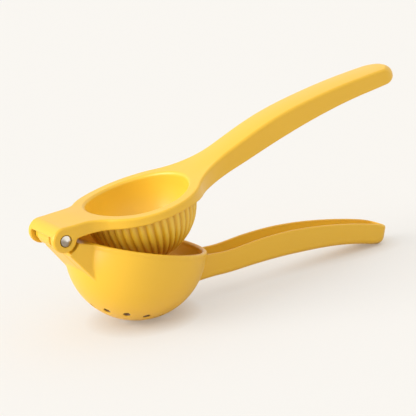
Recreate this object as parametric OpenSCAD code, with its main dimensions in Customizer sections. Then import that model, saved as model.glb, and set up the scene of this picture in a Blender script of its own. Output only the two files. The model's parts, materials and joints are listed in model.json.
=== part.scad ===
// Hinged lemon squeezer: two cast and enamelled levers that turn on one steel pin.
// The lower lever ends in a round strainer cup, the upper one in a fluted press bowl.
// Each lever is drawn in its own frame and then placed: the cup frame has its origin at
// the centre of the cup's round bottom, the press frame has it on the pin's axis. The
// whole squeezer stands on the cup's bottom and the tip of the lower handle, at z = 0.

/* [Strainer cup] */
// Outside radius of the cup
cup_r = 37.8; // [34:0.1:42]
// Wall of the cup
cup_wall = 2.4; // [1.8:0.1:3.2]
// Height of the rim above the centre of the round bottom
cup_band = 4.9; // [2:0.1:8]
// Radius of the rolled lip
lip_r = 1.4; // [1.2:0.05:1.8]
// How far the lip's centre stands out from the middle of the wall
lip_out = 0.3; // [0:0.05:0.6]
// Bore of a drain hole
drain_d = 3.8; // [2:0.1:4.5]
// Radius of the outer ring of drain holes
drain_ring_r = 20.7; // [17:0.1:24]
// Holes in the outer ring
drain_ring_n = 12; // [8:1:14]
// Radius of the inner ring of drain holes
drain_inner_r = 10.4; // [8:0.1:12]
// Holes in the inner ring
drain_inner_n = 6; // [4:1:7]

/* [Lower handle] */
// Cup axis to the tip of the lower handle
lower_reach = 167.8; // [150:0.1:185]
// Width of the lower handle
lower_w = 17; // [14:0.1:19]
// Side walls of the lower handle
lower_wall = 1.9; // [1.4:0.1:2.6]
// Floor of the lower handle's channel
lower_floor = 2.2; // [1.6:0.1:3]
// Height of the handle's top edge at its crest, above the rim
lower_rise = 18.7; // [12:0.1:24]
// Depth of the lower handle near its tip
lower_depth = 12.6; // [10:0.1:15]
// Depth of the lower handle in its middle
lower_root_depth = 14.8; // [12:0.1:17]
// Drop of the handle's top edge below the rim where it leaves the cup
lower_root_drop = 4.5; // [3.5:0.1:7]
// Radius along the bottom edges of the lower handle
lower_edge_r = 3; // [2:0.1:4]

/* [Press bowl] */
// Radius over the flutes of the press bowl
bowl_r = 30.6; // [27:0.1:32]
// Wall of the press bowl, measured over the flutes
bowl_wall = 2.5; // [2:0.1:3.2]
// Number of flutes
flute_n = 45; // [36:1:48]
// Depth of a flute
flute_depth = 0.9; // [0.4:0.05:1.2]
// Outside radius of the ring around the bowl
ring_r = 35.4; // [34:0.1:36]
// Round along the ring's top edges
ring_edge_r = 1.3; // [0.8:0.1:2]

/* [Upper handle] */
// Pin to the tip of the upper handle
press_reach = 233.2; // [205:0.1:260]
// Width of the upper handle
press_w = 20.4; // [18:0.1:23]
// Side walls of the upper handle
press_wall = 2; // [1.5:0.1:2.6]
// Thickness of the upper handle's top
press_top_t = 2.4; // [1.8:0.1:3.2]
// Height of the upper handle's crest above the pin
press_rise = 13.5; // [8:0.1:18]
// Depth of the upper handle at its crest
press_depth = 11.8; // [10:0.1:14]
// Round along the upper handle's shoulders
shoulder_r = 2.4; // [1.8:0.1:4.5]
// How far the handle's top is crowned
crown = 0.8; // [0.2:0.1:1.5]
// Radius of the flare from the ring to the upper handle
neck_flare_r = 44; // [25:1:60]

/* [Hinge] */
// Pin to the cup's axis
cup_reach = 50.2; // [48:0.1:56]
// Pin to the press bowl's axis
bowl_reach = 51.7; // [50:0.1:57]
// Height of the pin above the rim
pin_rise = 0.4; // [0:0.1:2]
// Diameter of the pin
pin_d = 6.2; // [5:0.1:6.6]
// Running clearance around the pin in the knuckle, on radius
pin_clear = 0.06; // [0.03:0.01:0.1]
// Height of the pin's domed ends
pin_dome = 1.2; // [0.6:0.1:2]
// Radius of the ears and of the nose over the knuckle
ear_r = 7.1; // [6.8:0.1:8]
// Thickness of an ear
ear_t = 3.5; // [3:0.1:4.5]
// Space between the ears
ear_gap = 23.6; // [20:0.1:27]
// Round along the edges of the ears
ear_edge_r = 1.5; // [0.5:0.1:2]
// Radius of the knuckle
knuckle_r = 4.5; // [4.3:0.05:4.7]
// Radius of the web around the pin, in the middle of the knuckle
web_r = 4.9; // [4.8:0.05:5.1]
// Width of that web
web_w = 13; // [10:0.5:19]
// Clearance between the moving castings at the hinge
hinge_gap = 0.5; // [0.4:0.05:0.7]
// Slope of the bracket's underside
bracket_slope = 37; // [30:1:42]

/* [Pose] */
// How far the press is open, from the ring lying parallel to the rim
open_angle = 26.9; // [13.4:0.1:100]

/* [Hidden] */
$fn = 96;

enamel = [0.96, 0.72, 0.16];
steel = [0.72, 0.72, 0.74];

through = 1;                    // how far a cut runs past the face it opens
cup_inner_r = cup_r - cup_wall;
lip_centre_r = cup_r - cup_wall / 2 + lip_out;
bowl_inner_r = bowl_r - bowl_wall;
pin_r = pin_d / 2;
ear_w = ear_gap + 2 * ear_t;
arm_half = ear_w / 2;
pin_h = cup_band + pin_rise;    // pin above the centre of the cup's round bottom

// ---------------------------------------------------------------- curves
// A curve is a list of [x, height, slope]; between two entries it is a cubic.
function last_before(curve, x) =
    max([for (i = [0 : len(curve) - 2]) if (i == 0 || x >= curve[i][0]) i]);
function cubic(a, b, t) =
    let (span = b[0] - a[0])
    (1 + 2 * t) * pow(1 - t, 2) * a[1] + t * pow(1 - t, 2) * span * a[2]
    + t * t * (3 - 2 * t) * b[1] - t * t * (1 - t) * span * b[2];
function height_at(curve, x) =
    let (i = last_before(curve, x), a = curve[i], b = curve[i + 1])
    cubic(a, b, (x - a[0]) / (b[0] - a[0]));

// Drop of a quarter round of radius r, at distance x past its start
function round_drop(r, x) = r - sqrt(max(0, r * r - pow(min(max(x, 0), r), 2)));

function reversed(list) = [for (i = [len(list) - 1 : -1 : 0]) list[i]];
function mirrored(list) = [for (p = reversed(list)) [-p[0], p[1]]];

// Solid through a row of cross-sections [x, [[y, z], ...]], all with as many points
module loft(sections) {
    count = len(sections[0][1]);
    rows = len(sections);
    points = [for (s = sections) for (p = s[1]) [s[0], p[0], p[1]]];
    start = [[for (i = [0 : count - 1]) i]];
    end = [[for (i = [count - 1 : -1 : 0]) (rows - 1) * count + i]];
    skin = [for (r = [0 : rows - 2]) for (i = [0 : count - 1])
        let (a = r * count + i, b = r * count + (i + 1) % count)
        each [[a, a + count, b], [b, a + count, b + count]]];
    polyhedron(points = points, faces = concat(start, end, skin));
}

// ---------------------------------------------------------------- lower lever
lower_root_x = cup_inner_r - 6; // the handle starts inside the cup's wall
lower_end_r = 5;                // plan radius of the tip's corners
lower_heel_r = 4.2;             // round under the tip
lower_brow_r = 1.2;             // round over the tip

lower_top = [
    [lower_root_x, cup_band - lower_root_drop - 1.8, 0.2],
    [0.316 * lower_reach, cup_band - 0.06 * lower_rise, 0.27],
    [0.435 * lower_reach, cup_band + 0.28 * lower_rise, 0.34],
    [0.602 * lower_reach, cup_band + 0.69 * lower_rise, 0.2],
    [0.781 * lower_reach, cup_band + 0.92 * lower_rise, 0.095],
    [0.94 * lower_reach, cup_band + lower_rise, 0.01],
    [lower_reach, cup_band + lower_rise - 0.3, -0.05],
];
lower_depths = [
    [lower_root_x, lower_root_depth + 1.6, -0.1],
    [0.316 * lower_reach, lower_root_depth - 1.1, 0.03],
    [0.435 * lower_reach, lower_root_depth, 0.03],
    [0.602 * lower_reach, lower_root_depth, -0.03],
    [0.85 * lower_reach, lower_depth, -0.02],
    [lower_reach, lower_depth - 0.3, -0.01],
];
function lower_low(x) = height_at(lower_top, x) - height_at(lower_depths, x);

// Half of the plan width at x, of a handle whose tip has rounded corners
function end_half(x, half, end_r, reach) =
    half - end_r + sqrt(max(0, end_r * end_r - pow(max(0, x - reach + end_r), 2)));

corner_steps = 4;
// Channel section with rounded bottom edges
function trough(half, low, high, r) =
    let (e = min(r, 0.8 * half),
         edge = concat([for (i = [corner_steps : -1 : 0])
             let (a = 90 * i / corner_steps) [half - e + e * cos(a), low + e - e * sin(a)]], [[half, high]]))
    concat(edge, mirrored(edge));

// Places along a handle: even along its length, closer together round its end
function stations(from, to, end_r, steps) =
    let (body_end = to - end_r)
    concat([for (i = [0 : steps - 1]) from + (body_end - from) * i / steps],
           [for (a = [0 : 15 : 75]) body_end + end_r * sin(a)], [to]);

module lower_handle_blank() {
    loft([for (x = stations(lower_root_x, lower_reach, lower_end_r, 26))
        [x, trough(end_half(x, lower_w / 2, lower_end_r, lower_reach),
                   lower_low(x) + round_drop(lower_heel_r, x - lower_reach + lower_heel_r),
                   height_at(lower_top, x) - round_drop(lower_brow_r, x - lower_reach + lower_brow_r),
                   lower_edge_r)]]);
}

// The hollow of the handle, from just behind the cup to the wall at its tip
module lower_channel() {
    end = lower_reach - lower_wall;
    end_r = lower_end_r - lower_wall;
    loft([for (x = stations(cup_r + 0.6, end, end_r, 20))
        [x, trough(end_half(x, lower_w / 2 - lower_wall, end_r, end),
                   lower_low(x) + lower_floor, cup_band + lower_rise + through,
                   lower_edge_r - lower_floor / 2)]]);
}

// Round bottom, straight band and rolled lip, turned as one outline
module cup_blank() {
    rotate_extrude() union() {
        intersection() {
            circle(r = cup_r, $fn = 120);
            translate([0, -cup_r]) square([cup_r, cup_r]);
        }
        square([cup_r, cup_band]);
        translate([lip_centre_r, cup_band]) circle(r = lip_r, $fn = 32);
    }
}

module cup_hollow() {
    sphere(r = cup_inner_r);
    cylinder(r = cup_inner_r, h = cup_band + lip_r + through);
}

module drain_holes() {
    depth = cup_r + through;
    for (ring = [[drain_ring_r, drain_ring_n, 0], [drain_inner_r, drain_inner_n, 0.5]])
        for (i = [0 : ring[1] - 1])
            rotate([0, 0, 360 * (i + ring[2]) / ring[1]])
                translate([ring[0], 0, -depth]) cylinder(d = drain_d, h = depth, $fn = 32);
    translate([0, 0, -depth]) cylinder(d = drain_d, h = depth, $fn = 32);
}

// Wedge under the hinge: flat on top, sloping back to the cup below
bracket_edge_r = 0.9;
bracket_drop = 3.9;             // of its underside, square to the slope, from the pin
bracket_back = 21;              // how far it runs into the cup's wall, from the pin
function under(x, inset) = -(bracket_drop - inset) / cos(bracket_slope) - x * tan(bracket_slope);

module bracket() {
    half = arm_half - 0.2;
    tall = 40;
    translate([-cup_reach, 0, pin_h]) intersection() {
        rotate([90, 0, 0]) linear_extrude(height = ear_w, center = true)
            polygon([[ear_r - 3, -pin_rise - 0.65], [bracket_back, -pin_rise - 0.65],
                     [bracket_back, under(bracket_back, -1)], [ear_r - 3, under(ear_r - 3, -1)]]);
        rotate([0, bracket_slope, 0]) rotate([90, 0, 90]) linear_extrude(height = 2 * tall, center = true)
            union() {
                translate([-half, bracket_edge_r - bracket_drop]) square([2 * half, tall]);
                translate([bracket_edge_r - half, -bracket_drop]) square([2 * (half - bracket_edge_r), tall]);
                for (side = [-1, 1])
                    translate([side * (half - bracket_edge_r), bracket_edge_r - bracket_drop])
                        circle(r = bracket_edge_r, $fn = 48);
            }
    }
}

// Web between the ears, from the pin back into the bracket
module web() {
    nose = web_r * [-sin(bracket_slope), -cos(bracket_slope)] * 0.98;
    rotate([90, 0, 0]) linear_extrude(height = web_w, center = true) union() {
        circle(r = web_r);
        polygon([[0, web_r * 0.4], nose, [bracket_back, under(bracket_back, 0.3)],
                 [bracket_back, -pin_rise - 2], [ear_r, -pin_rise - 2]]);
    }
}

module along_pin(r, length) {
    rotate([90, 0, 0]) cylinder(r = r, h = length, center = true);
}

module strainer_cup_cast() {
    knuckle_w = ear_gap - 2 * hinge_gap;
    difference() {
        union() {
            cup_blank();
            difference() {
                bracket();
                translate([-cup_reach, 0, pin_h]) along_pin(ear_r + hinge_gap, ear_w + 2 * through);
            }
            translate([-cup_reach, 0, pin_h]) {
                web();
                along_pin(knuckle_r, knuckle_w);
            }
            lower_handle_blank();
        }
        cup_hollow();
        lower_channel();
        drain_holes();
        translate([-cup_reach, 0, pin_h]) along_pin(pin_r + pin_clear, ear_w);
    }
}

// ---------------------------------------------------------------- upper lever
top_lean = 9;                   // slope of the plate where it leaves the nose
ring_z = 0.4;                   // top of the ring, at the bowl's axis
ring_h = 4.9;                   // height of the ring's outer face
bowl_z = ring_z - ring_h;       // centre of the round bowl
press_crest_x = 0.755 * press_reach;
press_mid_x = 0.583 * press_reach;
press_end_r = 0.44 * press_w;   // plan radius of the tip's corners
tip_round_r = 6.5;

press_top = [
    [ear_r * sin(top_lean), ear_r * cos(top_lean), -tan(top_lean)],
    [bowl_reach - 34, 4.4, -0.24],
    [bowl_reach - 4, ring_z, -0.03],
    [bowl_reach + 34, ring_z + 1.7, 0.14],
    [press_mid_x, 0.85 * press_rise, 0.14],
    [press_crest_x, press_rise, 0],
    [press_reach, press_rise - 3.3, -0.1],
];
press_bottom = [
    [ear_r * sin(top_lean), -0.8, -0.06],
    [bowl_reach - 28, -3.0, -0.1],
    [bowl_reach + 6, bowl_z, -0.02],
    [bowl_reach + 36, bowl_z - 2.3, -0.02],
    [press_mid_x, 0.85 * press_rise - press_depth - 1.7, 0.125],
    [press_crest_x + 14, press_rise - press_depth + 0.5, 0.02],
    [press_reach, press_rise - press_depth + 0.4, 0],
];

// Concave flare of radius flare_r between the ring and a straight side at half width
function flare_x(half, flare_r) = sqrt(pow(ring_r + flare_r, 2) - pow(half + flare_r, 2));
function flare_join(half, flare_r) = flare_x(half, flare_r) * ring_r / (ring_r + flare_r);
// Half of the plan width at distance dx from the bowl's axis, on one side of it
function plan_half(dx, half, flare_r) =
    let (centre = flare_x(half, flare_r))
    dx < flare_join(half, flare_r) ? sqrt(ring_r * ring_r - dx * dx)
    : dx < centre ? half + flare_r - sqrt(flare_r * flare_r - pow(centre - dx, 2))
    : half;
arm_flare_r = 9;
arm_spread = 0.5;               // the arms stand this far out past the ears
function arm_half_at(x) = arm_half - 0.1 + arm_spread * min(1, max(0, x / ear_r - 0.2));
function press_half(x) =
    x < bowl_reach ? plan_half(bowl_reach - x, arm_half_at(x), arm_flare_r)
    : min(plan_half(x - bowl_reach, press_w / 2, neck_flare_r),
          x > press_reach - press_end_r ? end_half(x, press_w / 2, press_end_r, press_reach) : ring_r);

// Share of the handle's full shoulder and crown reached at x, from none on the ring
function handle_share(x) =
    let (t = min(1, max(0, (x - bowl_reach - 0.7 * ring_r) / ring_r))) t * t * (3 - 2 * t);

shoulder_steps = 5;
// Inverted-channel section with rounded shoulders and a crowned top
function saddle(half, low, high, r, rise) =
    let (e = min(r, 0.85 * half, high - low - 0.5),
         side = [for (i = [0 : shoulder_steps])
             let (a = 90 * i / shoulder_steps)
             [half - e + e * cos(a), high - rise - e + e * sin(a)]],
         flat = [(half - e) / 2, high - rise / 4],
         edge = concat([[half, low]], side, [flat, [0.01, high]]))
    concat(edge, mirrored(edge));

// Places along the upper lever: close together where the ring's outline turns
arm_stations = [for (i = [0 : 5]) press_top[0][0] + (bowl_reach - 0.94 * ring_r - press_top[0][0]) * i / 6];
ring_stations = [for (a = [160 : -10 : 45]) bowl_reach + ring_r * cos(a)];
neck_start = bowl_reach + ring_r * cos(44);
press_stations = concat(arm_stations, ring_stations, stations(neck_start, press_reach, press_end_r, 30));

module press_blank() {
    loft([for (x = press_stations)
        let (share = handle_share(x))
        [x, saddle(press_half(x),
                   height_at(press_bottom, x) + round_drop(1.5, x - press_reach + 1.5),
                   height_at(press_top, x) - round_drop(tip_round_r, x - press_reach + tip_round_r),
                   ring_edge_r + (shoulder_r - ring_edge_r) * share, crown * share)]]);
}

// Underside hollow of the upper handle
module press_channel() {
    end = press_reach - press_wall;
    end_r = press_end_r - press_wall;
    loft([for (x = stations(bowl_reach + ring_r + 5, end, end_r, 22))
        [x, saddle(end_half(x, press_w / 2 - press_wall, end_r, end),
                   -bowl_r,
                   height_at(press_top, x) - press_top_t - round_drop(tip_round_r, x - end + tip_round_r),
                   shoulder_r - press_wall / 2, crown)]]);
}

// One ring of points around the fluted bowl, at angle down from its rim
points_per_flute = 4;
function flute_ring(down) =
    let (n = flute_n * points_per_flute,
         deep = flute_depth * min(1, 1.15 * cos(down)))
    [for (i = [0 : n - 1])
        let (a = 360 * i / n, dip = deep * (1 - abs(cos(flute_n * a / 2))),
             rr = (bowl_r - dip) * cos(down), zz = (bowl_r - dip) * sin(down))
        [rr * cos(a), rr * sin(a), -zz]];

module fluted_bowl() {
    downs = [0, 7, 14, 21, 28, 35, 42, 49, 56, 63, 70, 77];
    n = flute_n * points_per_flute;
    rings = len(downs);
    top = 1.5;                  // the bowl's blank runs this far up into the ring
    points = concat([for (p = flute_ring(0)) [p[0], p[1], top]],
                    [for (d = downs) each flute_ring(d)]);
    faces = concat(
        [[for (i = [n - 1 : -1 : 0]) i]],
        [[for (i = [0 : n - 1]) rings * n + i]],
        [for (r = [0 : rings - 1]) for (i = [0 : n - 1])
            let (a = r * n + i, b = r * n + (i + 1) % n)
            each [[a, b, a + n], [b, b + n, a + n]]]);
    polyhedron(points = points, faces = faces);
}

module bowl_hollow() {
    sphere(r = bowl_inner_r);
    cylinder(r = bowl_inner_r, h = ring_h + 6);
}

// Both ears and the nose between them, as one rounded drum on the pin's axis
module ear_drum() {
    inset_r = ear_r - ear_edge_r;
    inset_w = ear_w / 2 - ear_edge_r;
    rotate([90, 0, 0]) rotate_extrude() union() {
        translate([0, -ear_w / 2]) square([inset_r, ear_w]);
        translate([0, -inset_w]) square([ear_r, 2 * inset_w]);
        for (side = [-1, 1]) translate([inset_r, side * inset_w]) circle(r = ear_edge_r, $fn = 32);
    }
}

nose_lip_angle = 147;           // where the nose ends in front of the knuckle
clevis_x = 14;                  // length of the pocket between the arms
// Room for the knuckle: round about the pin, open below and in front
module clevis() {
    reach = 2 * ear_r;
    clear_r = web_r + hinge_gap;
    along_pin(clear_r, ear_gap);
    rotate([90, 0, 0]) linear_extrude(height = ear_gap, center = true)
        polygon([[0, 0], [reach * cos(nose_lip_angle), reach * sin(nose_lip_angle)],
                 [-reach, -reach], [clevis_x, -reach], [clevis_x, 1.6], [clear_r * 0.6, clear_r * 0.8]]);
}

module press_cast() {
    difference() {
        union() {
            press_blank();
            ear_drum();
            translate([bowl_reach, 0, bowl_z]) fluted_bowl();
        }
        translate([bowl_reach, 0, bowl_z]) bowl_hollow();
        press_channel();
        clevis();
        along_pin(pin_r, ear_w + 2 * through);
    }
}

// ---------------------------------------------------------------- pin
module domed_pin() {
    ball_r = (pin_r * pin_r + pin_dome * pin_dome) / (2 * pin_dome);
    half = ear_w / 2;
    along_pin(pin_r, ear_w);
    for (side = [-1, 1])
        intersection() {
            translate([0, side * (half + pin_dome - ball_r), 0]) sphere(r = ball_r);
            translate([0, side * (half + pin_dome / 2), 0]) along_pin(pin_r, pin_dome + 0.4);
        }
}

// ---------------------------------------------------------------- placing
// Tilt at which the lower handle's tip touches the surface that the cup stands on
heel_x = lower_reach - lower_heel_r;
heel_z = lower_low(heel_x) + lower_heel_r;
rest_tilt = atan2(heel_z, heel_x) + asin((cup_r - lower_heel_r) / norm([heel_x, heel_z]));

module at_rest() {
    translate([0, 0, cup_r]) rotate([0, rest_tilt, 0]) children();
}
module on_pin(angle) {
    translate([-cup_reach, 0, pin_h]) rotate([0, -angle, 0]) children();
}

module strainer_cup() color(enamel) at_rest() strainer_cup_cast();
module press_lever() color(enamel) at_rest() on_pin(open_angle) press_cast();
module hinge_pin() color(steel) at_rest() on_pin(open_angle) domed_pin();

strainer_cup();
press_lever();
hinge_pin();
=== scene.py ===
"""Hinged lemon squeezer: two enamelled castings that turn on a steel pin.

The castings are described by signed distances, whose edges and fillets have true radii,
and are then meshed. Lengths are millimetres in the shapes and metres in Blender. Each lever
has its own frame: the cup's starts at the centre of its round bottom, the press lever's on
the pin's axis, and both run along +X to the tip of the handle.
"""
import json
import logging
import math
from dataclasses import dataclass, replace
from enum import Enum
from typing import Callable, Sequence

import bpy
import numpy as np
from mathutils import Matrix, Vector


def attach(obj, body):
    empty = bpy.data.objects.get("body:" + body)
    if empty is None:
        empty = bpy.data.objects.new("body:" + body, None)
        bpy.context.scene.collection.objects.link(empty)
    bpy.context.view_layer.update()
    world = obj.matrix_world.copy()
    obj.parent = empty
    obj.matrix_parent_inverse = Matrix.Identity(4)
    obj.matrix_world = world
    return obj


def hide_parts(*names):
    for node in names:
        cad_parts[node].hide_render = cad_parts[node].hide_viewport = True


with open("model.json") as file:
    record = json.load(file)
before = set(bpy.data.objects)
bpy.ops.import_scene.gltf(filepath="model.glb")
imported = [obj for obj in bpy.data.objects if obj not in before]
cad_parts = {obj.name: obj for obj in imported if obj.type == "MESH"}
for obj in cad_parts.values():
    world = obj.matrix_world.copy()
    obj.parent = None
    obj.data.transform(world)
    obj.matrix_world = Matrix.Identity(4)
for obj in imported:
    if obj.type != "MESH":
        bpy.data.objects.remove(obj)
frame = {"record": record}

logging.basicConfig(level=logging.INFO, format="%(name)s: %(message)s")
LOG = logging.getLogger("squeezer")

Array = np.ndarray
MM = 0.001
GRID_STEP = 0.55
SPAN = 0.05
# Vertex masks: one for painted shade and one for painted light.
PAINTED_SHADE_ATTRIBUTE = "deep"
PAINTED_LIGHT_ATTRIBUTE = "bowl"


class Body(Enum):
    """Bodies of the frame that pieces ride on."""

    CUP = "cup_side"
    PRESS = "press_side"


class Slot(Enum):
    """Material slots of the record."""

    ENAMEL = "yellow_enamel"
    STEEL = "steel_pin"


# ---------------------------------------------------------------- distances
def round_and(a: Array, b: Array, radius: float | Array) -> Array:
    """Distance to what two solids share, with a convex round where they meet.

    Args:
        a: Distance to the first solid, negative inside.
        b: Distance to the second solid.
        radius: Radius of the round.

    Returns:
        The joined distance.
    """
    u, v = a + radius, b + radius
    return np.hypot(np.maximum(u, 0), np.maximum(v, 0)) + np.minimum(np.maximum(u, v), 0) - radius


def round_or(a: Array, b: Array, radius: float | Array) -> Array:
    """Distance to two solids together, with a fillet where they meet.

    Args:
        a: Distance to the first solid.
        b: Distance to the second solid.
        radius: Radius of the fillet.

    Returns:
        The joined distance.
    """
    return -round_and(-a, -b, radius)


def carve(a: Array, b: Array, radius: float | Array) -> Array:
    """Distance to the first solid with the second cut out and the cut's edge rounded.

    Args:
        a: Distance to the solid.
        b: Distance to what is cut out.
        radius: Radius of the edge.

    Returns:
        The joined distance.
    """
    return round_and(a, -b, radius)


def smoothstep(t: Array) -> Array:
    """Soft step from 0 to 1.

    Args:
        t: Position, 0 at the start of the step and 1 at its end.

    Returns:
        The step's height.
    """
    t = np.clip(t, 0, 1)
    return t * t * (3 - 2 * t)


@dataclass(frozen=True)
class Curve:
    """Height along X, a cubic between knots of (x, height, slope)."""

    knots: tuple[tuple[float, float, float], ...]

    def at(self, x: Array) -> Array:
        """Height of the curve.

        Args:
            x: Places along X.

        Returns:
            The height at each place.
        """
        table = np.array(self.knots)
        x = np.clip(x, table[0, 0], table[-1, 0])
        i = np.clip(np.searchsorted(table[:, 0], x, side="right") - 1, 0, len(table) - 2)
        a, b = table[i], table[i + 1]
        span = b[..., 0] - a[..., 0]
        t = (x - a[..., 0]) / span
        return ((1 + 2 * t) * (1 - t) ** 2 * a[..., 1] + t * (1 - t) ** 2 * span * a[..., 2]
                + t * t * (3 - 2 * t) * b[..., 1] - t * t * (1 - t) * span * b[..., 2])

    def steepness(self, x: Array) -> Array:
        """Length of the curve per unit of X, which turns heights into distances.

        Args:
            x: Places along X.

        Returns:
            The square root of one plus the slope squared.
        """
        return np.hypot(1, (self.at(x + SPAN) - self.at(x - SPAN)) / (2 * SPAN))


def slot_plan(x: Array, y: Array, end: float, half: float, corner: float) -> Array:
    """Distance in plan to a bar along X whose end has rounded corners.

    Args:
        x: Places along the bar.
        y: Places across it.
        end: Where the bar ends.
        half: Half of its width.
        corner: Plan radius of the corners.

    Returns:
        The distance, negative inside.
    """
    return round_and(x - end, np.abs(y) - half, corner)


# ---------------------------------------------------------------- meshing
CORNERS = np.array([[i >> 2 & 1, i >> 1 & 1, i & 1] for i in range(8)])
EDGES = [(a, b) for a in range(8) for b in range(a + 1, 8) if np.abs(CORNERS[a] - CORNERS[b]).sum() == 1]
SLAB = 48
SETTLE_STEPS = 3
LEAST_SLOPE = 0.2
PROBE = 0.02


def net_vertices(field: Array, cells: Array) -> Array:
    """One vertex for each cell that the surface crosses.

    Args:
        field: Distances on the grid.
        cells: Index of each crossed cell.

    Returns:
        The vertices, in grid steps.
    """
    values = np.stack([field[tuple((cells + c).T)] for c in CORNERS], axis=1)
    total = np.zeros((len(cells), 3))
    count = np.zeros(len(cells))
    for a, b in EDGES:
        crossed = (values[:, a] < 0) != (values[:, b] < 0)
        share = np.where(crossed, values[:, a] / np.where(crossed, values[:, a] - values[:, b], 1), 0)
        point = CORNERS[a] + share[:, None] * (CORNERS[b] - CORNERS[a])
        total += np.where(crossed[:, None], point, 0)
        count += crossed
    return cells + total / count[:, None]


def net_faces(inside: Array, ids: Array) -> Array:
    """Quads around every grid edge that the surface crosses.

    Args:
        inside: Which grid points lie in the solid.
        ids: Vertex number of each cell.

    Returns:
        The quads, wound so that they face outwards.
    """
    quads = []
    for axis in range(3):
        side, up = (axis + 1) % 3, (axis + 2) % 3
        low = [slice(None)] * 3
        high = [slice(None)] * 3
        low[axis], high[axis] = slice(0, -1), slice(1, None)
        for other in (side, up):
            low[other] = high[other] = slice(1, -1)
        leaving, entering = inside[tuple(low)], inside[tuple(high)]
        edge = np.argwhere(leaving != entering)
        outward = leaving[tuple(edge.T)]
        ring = []
        for step_side, step_up in ((0, 0), (1, 0), (1, 1), (0, 1)):
            cell = edge.copy()
            cell[:, side] += step_side
            cell[:, up] += step_up
            ring.append(ids[tuple(cell.T)])
        quad = np.stack(ring, axis=1)
        quads.append(np.where(outward[:, None], quad, quad[:, ::-1]))
    return np.concatenate(quads)


@dataclass(frozen=True)
class Skin:
    """Vertices in millimetres and faces, with a normal and the painted shade and painted light masks of each
    vertex.
    """

    points: Array
    faces: list[list[int]]
    normals: Array | None = None
    deep: Array | None = None
    # Mask of painted light.
    bowl: Array | None = None

    def to_object(self, name: str, place: Matrix) -> bpy.types.Object:
        """A Blender object of this skin.

        Args:
            name: The object's name.
            place: From the skin's own frame, in millimetres, to Blender's, in metres.

        Returns:
            The object, linked to the scene.
        """
        turn = np.array(place)
        mesh = bpy.data.meshes.new(name)
        points = self.points @ turn[:3, :3].T + turn[:3, 3]
        mesh.from_pydata(points.tolist(), [], self.faces)
        mesh.polygons.foreach_set("use_smooth", np.ones(len(mesh.polygons), dtype=bool))
        mesh.update()
        if self.normals is not None:
            normals = self.normals @ turn[:3, :3].T
            normals /= np.linalg.norm(normals, axis=1, keepdims=True)
            mesh.normals_split_custom_set_from_vertices(normals.tolist())
        for label, mask in ((PAINTED_SHADE_ATTRIBUTE, self.deep), (PAINTED_LIGHT_ATTRIBUTE, self.bowl)):
            if mask is not None:
                values = mesh.attributes.new(label, "FLOAT", "POINT").data
                values.foreach_set("value", mask.astype(np.float32))
        obj = bpy.data.objects.new(name, mesh)
        bpy.context.scene.collection.objects.link(obj)
        LOG.info("%s: %d vertices, %d faces", name, len(mesh.vertices), len(mesh.polygons))
        return obj


def band_faces(rows: int, count: int, closed: bool) -> Array:
    """Quads between rings of points that follow one another.

    Args:
        rows: Number of rings.
        count: Points in each ring.
        closed: Whether the last ring joins the first.

    Returns:
        The quads, one row each.
    """
    here = np.arange(count)
    ahead = (here + 1) % count
    bands = []
    for row in range(rows if closed else rows - 1):
        this, following = row * count, (row + 1) % rows * count
        bands.append(np.stack([this + here, following + here, following + ahead, this + ahead], axis=1))
    return np.concatenate(bands)


def slope_of(distance: Callable[[Array, Array, Array], Array], points: Array) -> Array:
    """Gradient of a distance.

    Args:
        distance: The distance, as a function of x, y and z.
        points: Where it is wanted, one row each.

    Returns:
        The gradient at each point.
    """
    rows = []
    for axis in range(3):
        ahead, behind = points.copy(), points.copy()
        ahead[:, axis] += PROBE
        behind[:, axis] -= PROBE
        rows.append((distance(*ahead.T) - distance(*behind.T)) / (2 * PROBE))
    return np.stack(rows, axis=1)


def skin_of(distance: Callable[[Array, Array, Array], Array], low: Sequence[float], high: Sequence[float],
            step: float = GRID_STEP) -> Skin:
    """Meshes a solid given by its distance.

    Args:
        distance: The distance, as a function of x, y and z that broadcasts.
        low: Lowest corner of the box to search.
        high: Highest corner of that box.
        step: Size of a grid cell.

    Returns:
        The solid's skin, with its vertices on the surface and its true normals.
    """
    counts = [int(math.ceil((b - a) / step)) + 1 for a, b in zip(low, high)]
    axes = [(a + step * np.arange(n)).astype(np.float32) for a, n in zip(low, counts)]
    y, z = axes[1][None, :, None], axes[2][None, None, :]
    field = np.concatenate([distance(axes[0][i:i + SLAB, None, None], y, z).astype(np.float32)
                            for i in range(0, counts[0], SLAB)])
    inside = field < 0
    shared = sum(inside[c[0]:c[0] + counts[0] - 1, c[1]:c[1] + counts[1] - 1, c[2]:c[2] + counts[2] - 1]
                 .astype(np.uint8) for c in CORNERS)
    crossed = (shared > 0) & (shared < 8)
    cells = np.argwhere(crossed)
    ids = np.full(crossed.shape, -1, dtype=np.int64)
    ids[crossed] = np.arange(len(cells))
    points = np.array(low) + step * net_vertices(field, cells)
    for _ in range(SETTLE_STEPS):
        slope = slope_of(distance, points)
        steep = np.maximum((slope ** 2).sum(axis=1, keepdims=True), LEAST_SLOPE)
        move = distance(*points.T)[:, None] * slope / steep
        points -= np.clip(move, -0.5 * step, 0.5 * step)
    return Skin(points, net_faces(inside, ids).tolist(), slope_of(distance, points))


# ---------------------------------------------------------------- hinge and cup lever
@dataclass(frozen=True)
class Hinge:
    """Sizes that both levers and the pin share."""

    cup_reach: float = 50.2
    bowl_reach: float = 51.7
    pin_rise: float = 0.4
    pin_r: float = 3.1
    pin_clear: float = 0.06
    bore_edge: float = 0.2
    ear_r: float = 6.75
    ear_back: float = 0.15
    ear_rise: float = 0.4
    ear_room: float = 7.6
    ear_gap: float = 23.6
    ear_t: float = 3.5
    gap: float = 0.5
    web_clear: float = 0.35
    knuckle_r: float = 4.5
    web_r: float = 5.5
    web_w: float = 13.0

    @property
    def half(self) -> float:
        """Half of the width over the ears."""
        return self.ear_gap / 2 + self.ear_t


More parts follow.
